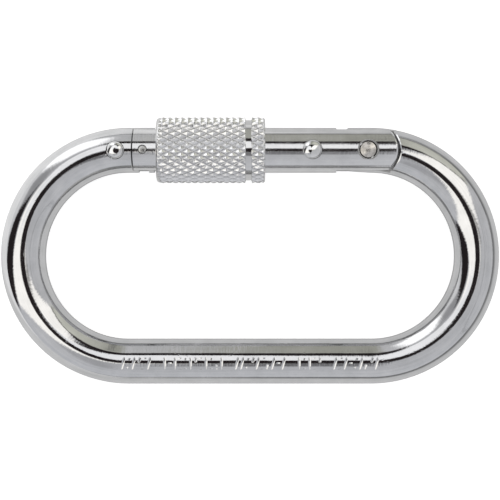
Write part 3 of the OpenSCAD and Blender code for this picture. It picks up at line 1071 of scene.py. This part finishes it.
def paint_walls(tent):
    """The grey cloth, darker overhead and clouded, with an olive panel and pale and grey ones on it."""
    n, gx, gy = tent.n, tent.gx, tent.gy
    tent.paint(n.span(tent.lean, (70.0, 12.0), (0.0, 0.30)), TENT_TOP)
    tent.paint(n.span(n.noise(tent.way, *TENT_CLOUDS), (0.45, 0.7), (0.0, 0.35)), TENT_CLOTH)
    olive = tent.both(n.span(gx, (0.0, 30.0), (0.1, 1.0)), n.span(gy, (45.0, 95.0), (1.0, 0.35)))
    tent.paint(tent.panel(*OLIVE_PANEL), n.blend(olive, OLIVE_DEEP, OLIVE_PALE))
    tent.paint(tent.both(tent.panel(*OLIVE_EDGE), EDGE_SHARE), HORIZON)
    tent.paint(tent.panel(*PALE_PANEL), PALE_TONE)
    tent.paint(tent.panel(*SOFT_BOX), BOX_LIGHT)
    tent.paint(tent.panel(*GREY_PATCH), PATCH_TONE)
    rim = tent.both(n.span(tent.lean, (85.0, 88.5), (0.0, 1.0)), n.span(gx, (-45.0, 5.0), (0.0, 0.85)))
    tent.paint(rim, HORIZON)
    seam = tent.both(tent.oval(*SEAM_OUTER), tent.outside(tent.oval(*SEAM_INNER)))
    tent.paint(tent.both(seam, SEAM_SHARE), SEAM_TONE)
    tent.paint(tent.both(tent.panel(*FOLD), FOLD_SHARE), SEAM_TONE)


def paint_lights(tent):
    """A strip light from lower left to upper right, and the roof's light beside it."""
    for strip in (STRIP_LOW, STRIP_HIGH):
        tent.paint(tent.panel(*strip), STRIP_LIGHT)
    tent.paint(tent.panel(*ROOF), ROOF_LIGHT)


def paint_flags(tent):
    """Black flags, and the dark lens, stand and arm of the camera in the middle."""
    n = tent.n
    dark = tent.panel(*FLAG)
    for shape in (TOP_FLAG, WEDGE, RAIL):
        dark = n.math("MAXIMUM", dark, tent.panel(*shape))
    lens = tent.both(tent.oval(*LENS), tent.outside(tent.panel(*LENS_NOTCH)))
    holder = n.math("MAXIMUM", tent.panel(*STAND), tent.panel(*ARM))
    dark = n.math("MAXIMUM", n.math("MAXIMUM", dark, lens), tent.both(holder, HOLDER_SHARE))
    tent.paint(dark, FLAG_BLACK)


def make_world():
    world = bpy.data.worlds.new("tent")
    bpy.context.scene.world = world
    world.use_nodes = True
    world.node_tree.nodes.clear()
    n = Nodes(world.node_tree)
    tent = Tent(n)
    paint_walls(tent)
    paint_lights(tent)
    paint_flags(tent)
    background = n.add("ShaderNodeBackground", Strength=1.0, Color=tent.tone)
    output = n.add("ShaderNodeOutputWorld")
    world.node_tree.links.new(background.outputs[0], output.inputs["Surface"])


# ---- camera and floor

def make_camera():
    """Square to the oval's plane, looking straight down."""
    shown_width, aim_y, lens, sensor = 0.1115, 0.00127, 150.0, 36.0
    data = bpy.data.cameras.new("camera")
    data.lens, data.sensor_width = lens, sensor
    data.clip_start, data.clip_end = 0.01, 20
    camera = bpy.data.objects.new("camera", data)
    camera.location = (0, aim_y, shown_width * lens / sensor)
    bpy.context.scene.collection.objects.link(camera)
    bpy.context.scene.camera = camera


FLOOR_HALF, FLOOR_PAPER, FLOOR_GLOW = 3.0, (0.8, 0.8, 0.8, 1), 0.70
WHITE = (1, 1, 1, 1)

# The table's mirrored tone, and where and by how much it changes, in metres from the middle.
# The mirrored tone is a painted reflection: painted light lifts it at the upper left and the left, and a
# painted shadow darkens it under the bar.
MIRRORED = 0.68
FAR, FAR_SIDE, FAR_DROP = (0.08, 0.13), (-0.06, 0.02), 0.42
CORNER, CORNER_LIGHT_LIFT = (0.039, 0.048), 0.24
LEFT, LEFT_LIGHT_LIFT = (-0.045, -0.058), 0.07
SHADOW, SHADOW_DROP = (0.004, 0.011), 0.52


def mirrored_floor(n):
    """How bright the table looks in the steel.

    It is brightest at the upper left, by the soft box, and dark under the bar and at the far right."""
    place = n.add("ShaderNodeTexCoord").outputs["Object"]
    x, y, _ = n.split(place)
    # Darker at the far right, then painted light at the upper left and the left, then a painted shadow under
    # the bar.
    far = n.span(n.vector("LENGTH", place).outputs["Value"], FAR, (0.0, 1.0))
    level = n.math("SUBTRACT", MIRRORED, n.math("MULTIPLY", far, n.span(x, FAR_SIDE, (0.0, FAR_DROP))))
    corner = n.math("MULTIPLY", n.math("SUBTRACT", y, x), math.sqrt(0.5))
    level = n.math("ADD", level, n.span(corner, CORNER, (0.0, CORNER_LIGHT_LIFT)))
    level = n.math("ADD", level, n.span(x, LEFT, (0.0, LEFT_LIGHT_LIFT)))
    bend = BEND_X * MM
    past = n.math("SUBTRACT", x, n.math("MAXIMUM", -bend, n.math("MINIMUM", x, bend)))
    reach = n.math("SQRT", n.math("ADD", n.math("MULTIPLY", past, past), n.math("MULTIPLY", y, y)))
    gap = n.math("ABSOLUTE", n.math("SUBTRACT", reach, BEND_R * MM))
    return n.math("SUBTRACT", level, n.span(gap, SHADOW, (SHADOW_DROP, 0.0)))


def floor_paper():
    """Pale paper that gives off some light of its own, and shows the steel the tone of mirrored_floor()."""
    material = bpy.data.materials.new("floor_paper")
    material.use_nodes = True
    tree = material.node_tree
    tree.nodes.clear()
    n = Nodes(tree)
    diffuse = n.add("ShaderNodeBsdfDiffuse", Color=FLOOR_PAPER)
    glow = n.add("ShaderNodeEmission", Color=WHITE, Strength=FLOOR_GLOW)
    lit = n.add("ShaderNodeAddShader")
    tree.links.new(diffuse.outputs[0], lit.inputs[0])
    tree.links.new(glow.outputs[0], lit.inputs[1])
    # Glossy rays see this emission, a painted reflection of the table with painted light and shadow, in place
    # of the lit paper.
    mirrored = n.add("ShaderNodeEmission", Color=WHITE, Strength=mirrored_floor(n))
    both = n.add("ShaderNodeMixShader")
    n.put(both, "0", n.add("ShaderNodeLightPath").outputs["Is Glossy Ray"])
    tree.links.new(lit.outputs[0], both.inputs[1])
    tree.links.new(mirrored.outputs[0], both.inputs[2])
    output = n.add("ShaderNodeOutputMaterial")
    tree.links.new(both.outputs[0], output.inputs["Surface"])
    return material


def make_floor():
    """A table that the sleeve just touches."""
    z = cad_bounds[0].z
    corners = [(x * FLOOR_HALF, y * FLOOR_HALF, z) for x, y in ((-1, -1), (1, -1), (1, 1), (-1, 1))]
    mesh = bpy.data.meshes.new("floor")
    mesh.from_pydata(corners, [], [(0, 1, 2, 3)])
    mesh.materials.append(floor_paper())
    floor = bpy.data.objects.new("floor", mesh)
    bpy.context.scene.collection.objects.link(floor)


# ---- assembly

def place(obj, body, node, slot, *materials):
    for material in materials:
        obj.data.materials.append(material)
    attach(obj, body)
    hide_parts(node)
    return obj


def build():
    bar = steel("plated_bar", (0.705, 0.705, 0.715), (0.60, 0.605, 0.61), rough=0.056, lines=0.30,
                scratches=0.45)
    swept = steel("plated_gate", (0.75, 0.75, 0.755), (0.645, 0.645, 0.65), rough=0.10, lines=0.34,
                  scratches=0.5)
    # Raw, unplated steel for the faces left inside cuts; its dark tone is partly painted shade in the seams,
    # slots and spotfaces.
    raw_steel_and_shade = steel("cut_steel_and_shade", (0.44, 0.44, 0.44), (0.28, 0.28, 0.28), rough=0.34, lines=3.0, scratches=1.0,
                stretch=(1, 1, 0.1))
    knurled = knurled_steel("plated_knurl")
    polished = turned_steel("polished_dome", (0.80, 0.80, 0.80), (0.70, 0.70, 0.70), rough=0.05, lines=0.15)
    peened = turned_steel("peened_end", (0.70, 0.675, 0.64), (0.44, 0.42, 0.39), rough=0.25, lines=3.0)
    plain = turned_steel("ground_pin", (0.60, 0.60, 0.59), (0.46, 0.46, 0.45), rough=0.25, lines=1.0)
    wire = turned_steel("drawn_wire", (0.50, 0.51, 0.53), (0.38, 0.39, 0.41), rough=0.22, lines=0.8)
    place(build_frame(), "frame", "frame", "frame_steel", bar, raw_steel_and_shade)
    place(build_nose_pin(), "frame", "nose_stop_pin", "stud_steel", polished)
    place(build_gate(), "gate", "gate", "gate_steel", swept, raw_steel_and_shade)
    place(build_rivet(), "gate", "hinge_rivet", "rivet_steel", peened)
    place(build_latch_pin(), "gate", "latch_pin", "pin_steel", plain)
    for end, side in (("front", 1), ("back", -1)):
        node = "gate_stop_stud_" + end
        place(build_stud("stud_" + end, node, side), "gate", node, "stud_steel", polished)
    place(build_plunger(), "plunger", "spring_plunger", "plunger_steel", plain)
    spring = place(build_spring(), "gate", "gate_spring", "spring_wire", wire)
    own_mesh(spring)
    place(build_ring(), "ring", "sleeve_retaining_ring", "ring_wire", wire)
    place(build_sleeve(), "sleeve", "lock_sleeve", "sleeve_steel", knurled)


make_camera()
make_world()
make_floor()
bpy.context.scene.view_settings.view_transform = "Standard"
build()
